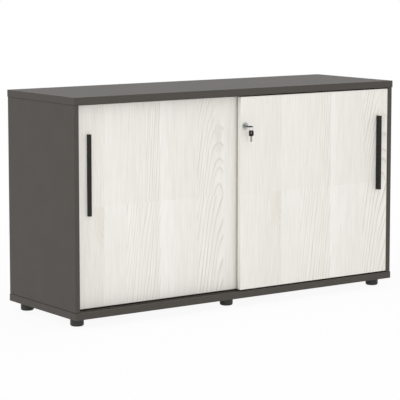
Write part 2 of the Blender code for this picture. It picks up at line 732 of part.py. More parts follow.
def build_lock_cam(look, parent):
    """Arm with a round hub on the square tail. At rest, unlocked, it points to the right."""
    outline = []
    steps = 10
    lean = math.asin((CAM_HUB_RADIUS - CAM_TIP_RADIUS) / CAM_LENGTH)
    hub_from, hub_to = math.pi / 2 - lean, 3 * math.pi / 2 + lean
    for i in range(steps + 1):
        angle = hub_from + (hub_to - hub_from) * i / steps
        outline.append((CAM_HUB_RADIUS * math.cos(angle), CAM_HUB_RADIUS * math.sin(angle)))
    tip_from, tip_to = -math.pi / 2 + lean, math.pi / 2 - lean
    for i in range(steps + 1):
        angle = tip_from + (tip_to - tip_from) * i / steps
        outline.append((CAM_LENGTH + CAM_TIP_RADIUS * math.cos(angle), CAM_TIP_RADIUS * math.sin(angle)))
    x, y, z = lock_place()
    shape = prism_shape(outline, CAM_START, CAM_START + CAM_THICKNESS, "Y")
    cam = add_piece("lock_cam", make_mesh("lock_cam", [shape]), look, lock_place(), parent)
    half = TAIL_WIDTH / 2 + TAIL_CLEARANCE
    low = (x - half, y + CAM_START - CUT_PAST, z - half)
    cut(cam, [box_shape(low, (x + half, y + CAM_START + CAM_THICKNESS + CUT_PAST, z + half))])


def build_cam_screw(look, parent):
    under = CAM_START + CAM_THICKNESS + FIT_GAP
    end = CAM_START + CAM_THICKNESS - CAM_SCREW_LENGTH
    top = under + CAM_SCREW_HEAD_THICKNESS
    profile = [
        (0, end),
        (CAM_SCREW_RADIUS, end),
        (CAM_SCREW_RADIUS, under),
        (CAM_SCREW_HEAD_RADIUS, under),
        (CAM_SCREW_HEAD_RADIUS, (under + top) / 2),
        (CAM_SCREW_HEAD_RADIUS * 0.8, top),
        (0, top),
    ]
    mesh = make_mesh("cam_screw", [turned_shape(profile, SMALL_SIDES, "Y")])
    smooth(mesh)
    add_piece("cam_screw", mesh, look, lock_place(), parent)


def strike_front():
    return at_depth(LEFT_FACE) - FIT_GAP - STRIKE_PLATE


def strike_screw_places():
    """Two screws, one above the other, midway between the hook and the plate's free edge."""
    x = STRIKE_HOOK_X + (STRIKE_LENGTH - STRIKE_HOOK) / 2
    return [(x, strike_front(), STRIKE_TOP - STRIKE_HEIGHT * share) for share in (0.25, 0.75)]


def strike_screw_holes():
    """Countersunk through the plate, then straight into the left door."""
    radius = STRIKE_SCREW_RADIUS + SCREW_CLEARANCE
    head = STRIKE_SCREW_HEAD_RADIUS + SCREW_CLEARANCE * math.sqrt(2)
    end = STRIKE_SCREW_LENGTH + SCREW_CLEARANCE
    profile = [(0, -CUT_PAST), (head, -CUT_PAST), (head, 0), (radius, head - radius), (radius, end), (0, end)]
    return [turned_shape(profile, SMALL_SIDES, "Y", place) for place in strike_screw_places()]


def build_strike(look, parent):
    """Angle on the face of the left door. Its hook lies left of the cam, below the hub."""
    left = STRIKE_HOOK_X - STRIKE_HOOK
    plate_back = at_depth(LEFT_FACE) - FIT_GAP
    hook_front = at_depth(RIGHT_FACE) + CAM_START + FIT_GAP
    outline = [
        (left, plate_back),
        (left, hook_front),
        (STRIKE_HOOK_X, hook_front),
        (STRIKE_HOOK_X, strike_front()),
        (left + STRIKE_LENGTH, strike_front()),
        (left + STRIKE_LENGTH, plate_back),
    ]
    shape = prism_shape(outline, STRIKE_TOP - STRIKE_HEIGHT, STRIKE_TOP, "Z")
    plate = add_piece("strike_plate", make_mesh("strike_plate", [shape]), look, (0, 0, 0), parent)
    cut(plate, strike_screw_holes())


def build_strike_screws(look, parent):
    start = STRIKE_SCREW_SINK
    neck = start + STRIKE_SCREW_HEAD_RADIUS - STRIKE_SCREW_RADIUS
    profile = [
        (0, start),
        (STRIKE_SCREW_HEAD_RADIUS, start),
        (STRIKE_SCREW_RADIUS, neck),
        (STRIKE_SCREW_RADIUS, STRIKE_SCREW_LENGTH),
        (0, STRIKE_SCREW_LENGTH),
    ]
    mesh = make_mesh("strike_screw", [turned_shape(profile, SMALL_SIDES, "Y")])
    smooth(mesh)
    for where, place in zip(("upper", "lower"), strike_screw_places()):
        add_piece(f"strike_screw_{where}", mesh, look, place, parent)


# Keys: drawn about the middle of the bow's web, with the blade towards +Y


def bow_shape():
    """Bow with four soft corners, a slight waist and a slot for the ring."""
    middle = BOW_LENGTH / 2 - BOW_WEB / 2
    slot_half = BOW_SLOT_WIDTH / 2
    slot_run = BOW_SLOT_LENGTH / 2 - slot_half
    slot_middle = BOW_WEB / 2 + BOW_SLOT_LENGTH / 2
    power = 2 / BOW_ROUNDNESS
    points = []
    for height in (-BOW_THICKNESS / 2, BOW_THICKNESS / 2):
        for i in range(BOW_STEPS):
            angle = 2 * math.pi * (i + 0.5) / BOW_STEPS
            across, along = math.cos(angle), math.sin(angle)
            waist = 1 - BOW_WAIST * math.exp(-((along / 0.3) ** 2))
            x = math.copysign(abs(across) ** power, across) * waist * BOW_WIDTH / 2
            y = math.copysign(abs(along) ** power, along) * BOW_LENGTH / 2
            points.append((x, middle + y, height))
        for i in range(BOW_STEPS):
            angle = 2 * math.pi * (i + 0.5) / BOW_STEPS
            across, along = math.cos(angle), math.sin(angle)
            y = slot_middle + math.copysign(slot_run, along) + slot_half * along
            points.append((slot_half * across, y, height))
    layer = 2 * BOW_STEPS
    faces = []
    for i in range(BOW_STEPS):
        j = (i + 1) % BOW_STEPS
        faces.append((i, j, j + layer, i + layer))
        faces.append((i + BOW_STEPS, j + BOW_STEPS, j + BOW_STEPS + layer, i + BOW_STEPS + layer))
        faces.append((i, j, j + BOW_STEPS, i + BOW_STEPS))
        faces.append((i + layer, j + layer, j + BOW_STEPS + layer, i + BOW_STEPS + layer))
    return points, faces


def blade_shape():
    """Flat blade with a pointed end and a row of shallow cuts in one edge."""
    start = BOW_LENGTH - BOW_WEB / 2 - BLADE_TANG
    shoulder = start + BLADE_TANG
    end = shoulder + BLADE_LENGTH
    half = BLADE_WIDTH / 2
    cuts = 3
    pitch = BLADE_LENGTH / 7
    depth = BLADE_WIDTH / 7
    outline = [(-half, start), (half, start)]
    for i in range(cuts):
        middle = end - half - pitch * (cuts - i - 0.5)
        outline += [(half, middle - pitch / 3), (half - depth, middle), (half, middle + pitch / 3)]
    outline += [(half, end - half / 2), (half / 2, end), (-half / 2, end), (-half, end - half / 2)]
    return prism_shape(outline, -BLADE_THICKNESS / 2, BLADE_THICKNESS / 2, "Z")


def build_key(prefix, at, looks, parent, hanging=False):
    """Bow and blade. A hanging key has its blade down and its flat side to the front."""
    turn = -math.pi / 2 if hanging else 0.0
    bow_mesh = make_mesh(prefix + "_bow", [bow_shape()])
    smooth(bow_mesh)
    bow = add_piece(prefix + "_bow", bow_mesh, looks["bow"], at, parent)
    blade = add_piece(prefix + "_blade", make_mesh(prefix + "_blade", [blade_shape()]), looks["steel"], at, parent)
    bow.rotation_euler.x = turn
    blade.rotation_euler.x = turn
    end = BOW_LENGTH - BOW_WEB / 2
    across = BLADE_WIDTH / 2 + BLADE_CLEARANCE
    through = BLADE_THICKNESS / 2 + BLADE_CLEARANCE
    start = end - BLADE_TANG - FIT_GAP
    points, faces = box_shape((-across, start, -through), (across, end + CUT_PAST, through))
    place = Vector(at)
    if hanging:
        pocket = [tuple(place + Vector((a, c, -b))) for a, b, c in points]
    else:
        pocket = [tuple(place + Vector(point)) for point in points]
    cut(bow, [(pocket, faces)])


def build_key_ring(at, look, parent):
    """Wire ring in the upright plane of the key."""
    points = []
    faces = []
    for i in range(RING_STEPS):
        turn = 2 * math.pi * (i + 0.5) / RING_STEPS
        for j in range(WIRE_SIDES):
            angle = 2 * math.pi * (j + 0.5) / WIRE_SIDES
            radius = RING_RADIUS + RING_WIRE * math.cos(angle)
            points.append((RING_WIRE * math.sin(angle), radius * math.cos(turn), radius * math.sin(turn)))
    for i in range(RING_STEPS):
        here, there = i * WIRE_SIDES, (i + 1) % RING_STEPS * WIRE_SIDES
        for j in range(WIRE_SIDES):
            k = (j + 1) % WIRE_SIDES
            faces.append((here + j, here + k, there + k, there + j))
    mesh = make_mesh("key_ring", [(points, faces)])
    smooth(mesh)
    add_piece("key_ring", mesh, look, at, parent)


# Feet


def foot_places():
    """Name and place of each foot: three in front and three behind, the middle ones beside the divider."""
    side = HALF_WIDTH - FOOT_SIDE_INSET
    rows = {"front": at_depth(FOOT_FRONT_INSET), "back": at_depth(CABINET_DEPTH - FOOT_BACK_INSET)}
    columns = {"left": -side, "middle": -MIDDLE_FOOT_SHIFT, "right": side}
    return [(f"foot_{row}_{column}", x, y) for row, y in rows.items() for column, x in columns.items()]


def build_feet(look, parent):
    top = FOOT_HEIGHT - FIT_GAP
    stem_top = INNER_BOTTOM - STEM_TOP_COVER
    rim = FOOT_RADIUS - FOOT_EDGE_RADIUS
    steps = 4
    profile = [(0, 0)]
    for i in range(steps + 1):
        angle = math.pi / 2 * i / steps
        radius = rim + FOOT_EDGE_RADIUS * math.sin(angle)
        profile.append((radius, FOOT_EDGE_RADIUS * (1 - math.cos(angle))))
    profile += [
        (FOOT_RADIUS, top - FOOT_TOP_EDGE),
        (FOOT_RADIUS - FOOT_TOP_EDGE, top),
        (STEM_RADIUS, top),
        (STEM_RADIUS, stem_top),
        (0, stem_top),
    ]
    mesh = make_mesh("foot", [turned_shape(profile, ROUND_SIDES, "Z")])
    smooth(mesh)
    for name, x, y in foot_places():
        add_piece(name, mesh, look, (x, y, 0), holder(name + "_level", (x, y, 0), parent))


def build_door_set(side, door_x, face, handle_x, handle_depth, extra, looks, parent):
    """A door with its handle and screws, two carriers with their rollers, and two guides."""
    build_door(f"{side}_door", door_x, face, handle_x, extra, looks["pine"], parent)
    build_handle(f"{side}_handle", handle_x, face, handle_depth, looks["handle"], parent)
    build_handle_screws(f"{side}_handle_screw", handle_x, face, looks["steel"], parent)
    for where, x in zip(("left", "right"), roller_places(door_x)):
        build_carrier(f"{side}_door_carrier_{where}", x, face, looks["carrier"], parent)
        name = f"{side}_door_roller_{where}"
        axle = holder(name + "_spin", (x, at_depth(face + DOOR_THICKNESS / 2), AXLE_Z), parent)
        build_roller(name, x, face, looks["roller"], axle)
    for where, x in zip(("left", "right"), guide_places(door_x)):
        build_guide(f"{side}_door_guide_{where}", x, face, looks["track"], parent)


def build_cabinet():
    clear_scene()
    looks = {
        "graphite": make_material("graphite_melamine", (0.054, 0.047, 0.039), 0.55),
        "pine": make_material("pale_pine_melamine", (0.80, 0.77, 0.70), 0.50),
        "back": make_material("back_board", (0.054, 0.047, 0.039), 0.60),
        "handle": make_material("black_painted_metal", (0.010, 0.010, 0.009), 0.40),
        "track": make_material("dark_grey_track_plastic", (0.045, 0.040, 0.035), 0.50),
        "carrier": make_material("black_carrier_plastic", (0.024, 0.024, 0.024), 0.45),
        "roller": make_material("black_roller_plastic", (0.035, 0.035, 0.035), 0.35),
        "foot": make_material("dark_foot_plastic", (0.045, 0.045, 0.045), 0.50),
        "chrome": make_material("nickel_plated_metal", (0.62, 0.63, 0.64), 0.25, 1.0),
        "steel": make_material("zinc_plated_steel", (0.55, 0.56, 0.57), 0.35, 1.0),
        "bow": make_material("black_key_plastic", (0.030, 0.028, 0.025), 0.45),
    }
    carcass = holder("cabinet_frame", (0, 0, 0))
    build_bottom_board(looks["graphite"], carcass)
    build_top_board(looks["graphite"], carcass)
    build_side_panel("left_side_panel", -1, looks["graphite"], carcass)
    build_side_panel("right_side_panel", 1, looks["graphite"], carcass)
    build_divider(looks["graphite"], carcass)
    build_back_panel(looks["back"], carcass)
    build_shelf("left_shelf", -1, looks["graphite"], carcass)
    build_shelf("right_shelf", 1, looks["graphite"], carcass)
    build_shelf_pins(looks["steel"], carcass)
    run_base = CHANNEL_FLOOR - TRACK_BASE
    build_track("running_track", RUN_CHANNEL_DEPTH, run_base, 1, looks["track"], carcass)
    guide_base = INNER_TOP + GUIDE_CHANNEL_DEPTH + TRACK_BASE
    build_track("guide_track", GUIDE_CHANNEL_DEPTH, guide_base, -1, looks["track"], carcass)
    build_track_stop("left_door_stop", roller_places(LEFT_DOOR_X)[1], 1, LEFT_FACE, looks["track"], carcass)
    build_track_stop("right_door_stop", roller_places(RIGHT_DOOR_X)[0], -1, RIGHT_FACE, looks["track"], carcass)
    build_feet(looks["foot"], carcass)

    left = holder("left_door_slide", (sum(LEFT_DOOR_X) / 2, at_depth(LEFT_FACE), DOOR_BOTTOM), carcass)
    holes = strike_screw_holes()
    build_door_set("left", LEFT_DOOR_X, LEFT_FACE, LEFT_HANDLE_X, HANDLE_DEPTH_LEFT, holes, looks, left)
    build_strike(looks["steel"], left)
    build_strike_screws(looks["steel"], left)

    right = holder("right_door_slide", (sum(RIGHT_DOOR_X) / 2, at_depth(RIGHT_FACE), DOOR_BOTTOM), carcass)
    holes = [lock_hole()]
    build_door_set("right", RIGHT_DOOR_X, RIGHT_FACE, RIGHT_HANDLE_X, HANDLE_DEPTH_RIGHT, holes, looks, right)
    build_lock_barrel(looks["chrome"], right)
    build_lock_nut(looks["steel"], right)

    turning = holder("lock_turn", lock_place(), right)
    build_lock_plug(looks["chrome"], turning)
    build_lock_cam(looks["steel"], turning)
    build_cam_screw(looks["steel"], turning)
    web = (LOCK_X, at_depth(WEB_DEPTH), LOCK_Z)
    pulling = holder("key_slide", web, turning)
    build_key("key", web, looks, pulling)
    swinging = holder("ring_swing", web, pulling)
    build_key_ring((LOCK_X, at_depth(WEB_DEPTH), LOCK_Z - RING_DROP), looks["steel"], swinging)
    hang = (LOCK_X, at_depth(WEB_DEPTH), LOCK_Z - RING_DROP - RING_RADIUS)
    spare = holder("spare_key_swing", hang, swinging)
    build_key("spare_key", (hang[0], hang[1], hang[2] + SPARE_WEB_RISE), looks, spare, hanging=True)


build_cabinet()
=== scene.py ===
import math

import bmesh
import bpy
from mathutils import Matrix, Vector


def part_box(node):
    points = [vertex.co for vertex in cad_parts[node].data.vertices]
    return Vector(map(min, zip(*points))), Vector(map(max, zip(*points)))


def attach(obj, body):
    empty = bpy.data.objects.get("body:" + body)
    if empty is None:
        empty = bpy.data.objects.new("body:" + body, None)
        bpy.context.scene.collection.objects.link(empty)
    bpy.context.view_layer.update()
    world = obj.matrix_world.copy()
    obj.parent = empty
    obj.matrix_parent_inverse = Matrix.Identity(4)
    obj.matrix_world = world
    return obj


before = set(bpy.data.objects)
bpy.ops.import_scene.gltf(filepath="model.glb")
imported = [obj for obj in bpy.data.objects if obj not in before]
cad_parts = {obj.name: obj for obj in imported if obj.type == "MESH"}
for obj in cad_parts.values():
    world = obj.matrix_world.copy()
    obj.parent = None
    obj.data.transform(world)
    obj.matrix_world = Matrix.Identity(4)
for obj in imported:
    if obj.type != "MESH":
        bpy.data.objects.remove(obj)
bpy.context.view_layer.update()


def hexToLinear(code):
    parts = [int(code[i:i + 2], 16) / 255 for i in (1, 3, 5)]
    return (*[c / 12.92 if c <= 0.04045 else ((c + 0.055) / 1.055) ** 2.4 for c in parts], 1.0)


# the From inputs of a MapRange over a noise texture, whose values mostly lie in between
noiseSpan = {1: 0.3, 2: 0.7}
grainSpan = {1: 0.25, 2: 0.75}  # a little wider, for the fibres and streaks of the wood


# Adds one node: inputs are values, sockets or nodes (their first output), stops fill a colour ramp.
# A MapRange has From at 1 and 2 and To at 3 and 4. A colour Mix has its colours at 6 and 7 and gives its
# result at output 2.
def addNode(tree, kind, inputs=None, stops=None, **settings):
    node = tree.nodes.new("ShaderNode" + kind)
    for name, value in settings.items():
        setattr(node, name, value)
    for name, value in (inputs or {}).items():
        if isinstance(value, bpy.types.Node):
            value = value.outputs[0]
        if isinstance(value, bpy.types.NodeSocket):
            tree.links.new(value, node.inputs[name])
        else:
            node.inputs[name].default_value = value
    if stops:
        ramp = node.color_ramp
        while len(ramp.elements) < len(stops):
            ramp.elements.new(1.0)
        for element, (place, colour) in zip(ramp.elements, stops):
            element.position = place
            element.color = hexToLinear(colour) if isinstance(colour, str) else colour
    return node


# a new material with its shader, and its coordinates in millimetres of the object itself
def startMaterial(name, roughness, metallic=0.0):
    material = bpy.data.materials.new(name)
    material.use_nodes = True
    tree = material.node_tree
    shader = tree.nodes["Principled BSDF"]
    shader.inputs["Roughness"].default_value = roughness
    shader.inputs["Metallic"].default_value = metallic
    where = addNode(tree, "TexCoord")
    spot = addNode(tree, "VectorMath", {0: where.outputs["Object"], "Scale": 1000.0}, operation="SCALE")
    return material, tree, shader, spot


def giveMaterial(nodes, material):
    for name in nodes:
        for slot in bpy.data.objects[name].material_slots:
            slot.material = material


# two masks over a board: 1 on its edging, and 1 on the hairline of glue where the edging meets the face
def markEdging(tree, spot, board, edging):
    low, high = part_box(board)
    size = [(high[i] - low[i]) * 1000 for i in range(3)]
    middle = [(high[i] + low[i]) / 2 * 1000 for i in range(3)]
    thin = size.index(min(size))
    away = addNode(tree, "VectorMath", {0: spot, 1: middle}, operation="SUBTRACT")
    away = addNode(tree, "VectorMath", {0: away}, operation="ABSOLUTE")
    inside = addNode(tree, "VectorMath", {0: [s / 2 for s in size], 1: away}, operation="SUBTRACT")
    parts = addNode(tree, "SeparateXYZ", {0: inside})
    first, second = [parts.outputs[i] for i in range(3) if i != thin]
    rim = addNode(tree, "Math", {0: first, 1: second}, operation="MINIMUM")
    band = addNode(tree, "Math", {0: rim, 1: edging["thickness"]}, operation="LESS_THAN")
    line = addNode(tree, "Math", {0: rim, 1: edging["thickness"], 2: edging["glueLine"]}, operation="COMPARE")
    return band, line


# Graphite melamine: paper soaked in resin and pressed on chipboard under a plate with a fine pearl grain.
# The pearl breaks the light up into a soft, even grey with a faint sheen at a flat angle.
graphite = {
    "paper": "#423d37",
    "paperDark": "#3e3933",
    "edging": "#403b35",
    "glue": "#33302c",
    "pearl": 1.1,           # mm, the real grain is about 0.5 mm and is drawn coarser so that it shows
    "pearlDepth": 0.00005,
    "pearlStrength": (0.5, 0.2),  # on the pressed face, and on the edging, which is smoother
    "fleck": 0.625,         # mm
    "fleckTone": (0.96, 1.04),
    "cloud": 90.0,          # mm, slow change of tone in the printed paper
    "roughness": 0.58,
    "vary": 0.05,
    "sheen": 0.5,
    "boards": [
        "top_board", "bottom_board", "left_side_panel", "right_side_panel",
        "centre_divider", "left_shelf", "right_shelf", "back_panel",
    ],
    "edgingSize": {"thickness": 1.0, "glueLine": 0.12},  # mm
}


def makeGraphite(board):
    g = graphite
    material, tree, shader, spot = startMaterial("graphiteMelaminePressed_" + board, g["roughness"])
    shader.inputs["Specular IOR Level"].default_value = g["sheen"]
    cloud = addNode(tree, "TexNoise", {"Vector": spot, "Scale": 1 / g["cloud"], "Detail": 3.0})
    stops = [(noiseSpan[1], g["paperDark"]), (noiseSpan[2], g["paper"])]
    tone = addNode(tree, "ValToRGB", {0: cloud}, stops)
    fleck = addNode(tree, "TexNoise", {"Vector": spot, "Scale": 1 / g["fleck"], "Detail": 1.0})
    low, high = g["fleckTone"]
    flecked = addNode(tree, "MapRange", {0: fleck, **noiseSpan, 3: low, 4: high})
    paper = addNode(tree, "VectorMath", {0: tone, "Scale": flecked}, operation="SCALE")
    band, line = markEdging(tree, spot, board, g["edgingSize"])
    edged = addNode(tree, "Mix", {0: band, 6: paper, 7: hexToLinear(g["edging"])}, data_type="RGBA")
    glued = addNode(tree, "Mix", {0: line, 6: edged.outputs[2], 7: hexToLinear(g["glue"])}, data_type="RGBA")
    tree.links.new(glued.outputs[2], shader.inputs["Base Color"])
    pearl = addNode(tree, "TexNoise", {"Vector": spot, "Scale": 1 / g["pearl"], "Detail": 1.5})
    onFace, onEdging = g["pearlStrength"]
    depth = addNode(tree, "MapRange", {0: band, 3: onFace, 4: onEdging})
    bump = addNode(tree, "Bump", {"Strength": depth, "Distance": g["pearlDepth"], "Height": pearl})
    tree.links.new(bump.outputs[0], shader.inputs["Normal"])
    low, high = g["roughness"] - g["vary"], g["roughness"] + g["vary"]
    rough = addNode(tree, "MapRange", {0: fleck, **noiseSpan, 3: low, 4: high})
    tree.links.new(rough.outputs[0], shader.inputs["Roughness"])
    return material


for board in graphite["boards"]:
    giveMaterial([board], makeGraphite(board))
print("graphite boards dressed:", len(graphite["boards"]))

# Pale pine print: melamine paper printed with glued pine staves, grain upright, pressed nearly smooth.
# It gives wide soft bands of cream, fine straight lines, and one arched figure in each width of the print.
pine = {
    "dark": "#c8c0b0",
    "pale": "#f8f6f2",
    "toneSpan": 48.0,       # levels between dark and pale
    "warm": "#e8e0d2",
    # edge band: partly its own plain colour, and partly made paler than the print as painted light that lifts
    # the doors' side faces out of the shade between the doors
    "edging": "#f7f5ed",
    "glue": "#cfc6b4",
    "butt": 403.0,          # mm above the floor, where the upper staves end and the lower ones begin
    "print": (-80.0, 720.0),  # mm, the part of the print that the two doors show
    # for each door: its material, and how far along the front its print is moved (mm)
    "doors": {
        "left_door": ("pinePrintMelamineRearDoor", 679.0),
        "right_door": ("pinePrintMelamineFrontDoor", -59.0),
    },
    # strips of the print: left edge (mm), tone at the left and at the right, then the growth rings:
    # their centre, depth, pitch (mm) and how strong the lines are
    "upperStaves": [
        (-80, 0.78, 0.72, 300, 40, 6, 0.12), (60, 0.72, 0.68, 400, 30, 5.5, 0.25),
        (117, 0.79, 0.77, 500, 40, 8, 0.05), (200, 0.77, 0.73, 800, 20, 8, 0.24),
        (288, 0.73, 0.70, 800, 20, 8, 0.62), (346, 0.88, 0.74, 900, 40, 8, 0.06),
        (400, 0.75, 0.72, 1000, 60, 6, 0.18), (502, 0.71, 0.72, 597, 12, 9, 0.72),
        (614, 0.77, 0.77, 1000, 40, 6.5, 0.12),
    ],
    "lowerStaves": [
        (-80, 0.82, 0.76, 300, 60, 8, 0.12), (30, 0.74, 0.69, 300, 90, 9, 0.22),
        (117, 0.81, 0.81, 500, 50, 10, 0.05), (205, 0.81, 0.74, 470, 60, 13, 0.62),
        (346, 0.92, 0.79, 900, 60, 12, 0.06), (430, 0.80, 0.77, 900, 60, 9, 0.18),
        (502, 0.77, 0.74, 650, 66, 14, 0.82), (614, 0.79, 0.79, 860, 80, 9, 0.2),
    ],
    # how those ring values are squeezed into a colour, which holds 0 to 1 (mm)
    "centreStart": -400.0,
    "centreSpan": 1600.0,
    "depthSpan": 200.0,
    "pitchSpan": 20.0,
    "seam": 0.0005,         # share of the print's width over which one strip's tone turns into the next
    # for the lower and the upper staves, per mm up: how much deeper the cut lies in the rings, and how far
    # their middle moves to the right
    "ringLean": (0.16, 0.19),
    "ringDrift": (0.1, 0.03),
    "ringSquash": (1.0, 0.85),  # less than 1 makes the arches wider
    # mm beside an arch's middle where its lines are full again, and how strong they are in the middle
    "crown": (16.0, 0.62),
    "clear": (604, 709, 46, 60),  # a place nearly without lines: across, up, half width, half height (mm)
    "clearRest": 0.1,       # how strong the lines still are in its middle
    "softFrom": 0.45,       # share of an oval's size inside which its mark is full
    "sway": 1.3,            # rings that the lines wander
    "swaySize": (60.0, 350.0),  # mm across and along one such bend
    "uneven": 1.6,          # rings that the spacing wanders
    "unevenPace": 0.35,     # how often it does, per ring
    # late wood is a narrow dark line across one ring, and the early wood beside it is paler than the rest
    "lateWood": [
        (0.0, "#303030"), (0.1, "#000000"), (0.3, "#303030"),
        (0.7, "#808080"), (0.88, "#ffffff"), (1.0, "#808080"),
    ],
    "lineTone": (0.25, -1.0),  # what black and white there do, as shares of the contrast
    "waning": (0.6, 1.15),  # a line's strength where it is faint and where it is bold
    "contrast": 30.0,       # levels that a full line is darker
    "fibre": (0.9, 70.0),   # mm across and along one fibre
    "fibreTone": 0.10,      # how much it is darker or paler, as a share of the tone span
    "streak": (5.5, 110.0),  # mm across and along one streak
    "streakTone": 0.115,
    "poreDepth": 0.00005,
    "poreStrength": 0.25,
    "roughness": 0.5,
    "vary": 0.05,
    # printed heartwood patches: across, up, half width, half height (mm), how warm, how dark, how much
    # of the growth lines they hide, and their stave's edge
    "patches": [
        (117, 362, 49, 122, 0.37, 0.06, 0.0, 117), (593, 630, 20, 50, 0.12, 0.15, 0.9, 614),
        (594, 572, 15, 24, 0.25, 0.07, 0.3, 614),
    ],
    "ripples": 26.0,        # radians of the rings round a patch, from its middle to its rim
    "ripple": 0.8,          # where those rings start, in radians
    "rippleTone": 0.09,
    "edgingSize": {"thickness": 1.6, "glueLine": 0.12},  # mm
}


# how far out from the middle of an oval a point is, and a soft mark: 1 inside it, 0 outside
def markOval(tree, across, up, oval):
    x, z, halfWidth, halfHeight = oval
    away = addNode(tree, "CombineXYZ", {0: across, 1: up})
    away = addNode(tree, "VectorMath", {0: away, 1: (x, z, 0)}, operation="SUBTRACT")
    away = addNode(tree, "VectorMath", {0: away, 1: (1 / halfWidth, 1 / halfHeight, 0)}, operation="MULTIPLY")
    away = addNode(tree, "VectorMath", {0: away}, operation="LENGTH")
    away = away.outputs["Value"]
    soft = addNode(tree, "MapRange", {0: away, 1: 1.0, 2: pine["softFrom"], 3: 0.0, 4: 1.0})
    return away, soft


def makePine(name, board, shift):
    p = pine
    material, tree, shader, spot = startMaterial(name, p["roughness"])
    parts = addNode(tree, "SeparateXYZ", {0: spot})
    across = addNode(tree, "Math", {0: parts.outputs[0], 1: shift}, operation="ADD")
    up = addNode(tree, "Math", {0: parts.outputs[2], 1: p["butt"]}, operation="SUBTRACT")
    isUpper = addNode(tree, "Math", {0: up, 1: 0.0}, operation="GREATER_THAN")
    first, last = p["print"]
    along = addNode(tree, "MapRange", {0: across, 1: first, 2: last})
    rings, tones = [], []
    for row in ("lower", "upper"):
        ringStops, toneStops = [], []
        staves = p[row + "Staves"]
        ends = [stave[0] for stave in staves[1:]] + [last]
        for (edge, leftTone, rightTone, centre, depth, pitch, strength), end in zip(staves, ends):
            # ring centre in red, depth in green, pitch in blue, strength in alpha
            packed = (
                (centre - p["centreStart"]) / p["centreSpan"],
                depth / p["depthSpan"],
                pitch / p["pitchSpan"],
                strength,
            )
            start = (edge - first) / (last - first)
            stop = (end - first) / (last - first) - p["seam"]
            ringStops.append((start, packed))
            toneStops.append((start, (leftTone, leftTone, leftTone, 1)))
            toneStops.append((stop, (rightTone, rightTone, rightTone, 1)))
        rings.append(addNode(tree, "ValToRGB", {0: along}, ringStops))
        rings[-1].color_ramp.interpolation = "CONSTANT"
        tones.append(addNode(tree, "ValToRGB", {0: along}, toneStops))
    ring = addNode(tree, "Mix", {0: isUpper, 6: rings[0], 7: rings[1]}, data_type="RGBA")
    lowAlpha, highAlpha = [ramp.outputs[1] for ramp in rings]
    strength = addNode(tree, "Mix", {0: isUpper, 2: lowAlpha, 3: highAlpha}, data_type="FLOAT")
    tone = addNode(tree, "Mix", {0: isUpper, 6: tones[0], 7: tones[1]}, data_type="RGBA")
    pick = addNode(tree, "SeparateColor", {0: ring.outputs[2]})
    # growth rings cut lengthwise: arches near their centre, straight lines beside it
    wideBend, longBend = p["swaySize"]
    slowScale = (1 / wideBend, 1 / wideBend, 1 / longBend)
    slow = addNode(tree, "VectorMath", {0: spot, 1: slowScale}, operation="MULTIPLY")
    sway = addNode(tree, "TexNoise", {"Vector": slow, "Scale": 1.0, "Detail": 2.0})
    unpack = {0: pick.outputs[0], 1: p["centreSpan"], 2: p["centreStart"]}
    centre = addNode(tree, "Math", unpack, operation="MULTIPLY_ADD")
    lowDrift, highDrift = p["ringDrift"]
    drift = addNode(tree, "MapRange", {0: isUpper, 3: lowDrift, 4: highDrift})
    centre = addNode(tree, "Math", {0: up, 1: drift, 2: centre}, operation="MULTIPLY_ADD")
    side = addNode(tree, "Math", {0: across, 1: centre}, operation="SUBTRACT")
    lowSquash, highSquash = p["ringSquash"]
    squash = addNode(tree, "MapRange", {0: isUpper, 3: lowSquash, 4: highSquash})
    side = addNode(tree, "Math", {0: side, 1: squash}, operation="MULTIPLY")
    climb = addNode(tree, "Math", {0: pick.outputs[1], 1: p["depthSpan"]}, operation="MULTIPLY")
    lowLean, highLean = p["ringLean"]
    lean = addNode(tree, "MapRange", {0: isUpper, 3: lowLean, 4: highLean})
    depth = addNode(tree, "Math", {0: up, 1: lean, 2: climb}, operation="MULTIPLY_ADD")
    far = addNode(tree, "CombineXYZ", {0: side, 1: depth})
    far = addNode(tree, "VectorMath", {0: far}, operation="LENGTH")
    pitch = addNode(tree, "Math", {0: pick.outputs[2], 1: p["pitchSpan"]}, operation="MULTIPLY")
    count = addNode(tree, "Math", {0: far.outputs["Value"], 1: pitch}, operation="DIVIDE")
    pace = {"W": count, "Scale": p["unevenPace"], "Detail": 1.0}
    spread = addNode(tree, "TexNoise", pace, noise_dimensions="1D")
    count = addNode(tree, "Math", {0: sway, 1: p["sway"], 2: count}, operation="MULTIPLY_ADD")
    count = addNode(tree, "Math", {0: spread, 1: p["uneven"], 2: count}, operation="MULTIPLY_ADD")
    count = addNode(tree, "Math", {0: count}, operation="FRACT")
    late = addNode(tree, "ValToRGB", {0: count}, p["lateWood"])
    early, full = p["lineTone"]
    late = addNode(tree, "MapRange", {0: late, 3: early, 4: full})
    weak, bold = p["waning"]
    waning = addNode(tree, "MapRange", {0: sway, **noiseSpan, 3: weak, 4: bold})
    lines = addNode(tree, "Math", {0: late, 1: strength}, operation="MULTIPLY")
    lines = addNode(tree, "Math", {0: lines, 1: waning}, operation="MULTIPLY")
    reach, faint = p["crown"]
    beside = addNode(tree, "Math", {0: side}, operation="ABSOLUTE")
    crown = addNode(tree, "MapRange", {0: beside, 2: reach, 3: faint, 4: 1.0})
    lines = addNode(tree, "Math", {0: lines, 1: crown}, operation="MULTIPLY")
    clear = markOval(tree, across, parts.outputs[2], p["clear"])[1]
    clear = addNode(tree, "MapRange", {0: clear, 3: 1.0, 4: p["clearRest"]})
    lines = addNode(tree, "Math", {0: lines, 1: clear}, operation="MULTIPLY")
    patches = []
    for *oval, warm, dark, hidden, edge in p["patches"]:
        away, soft = markOval(tree, across, parts.outputs[2], oval)
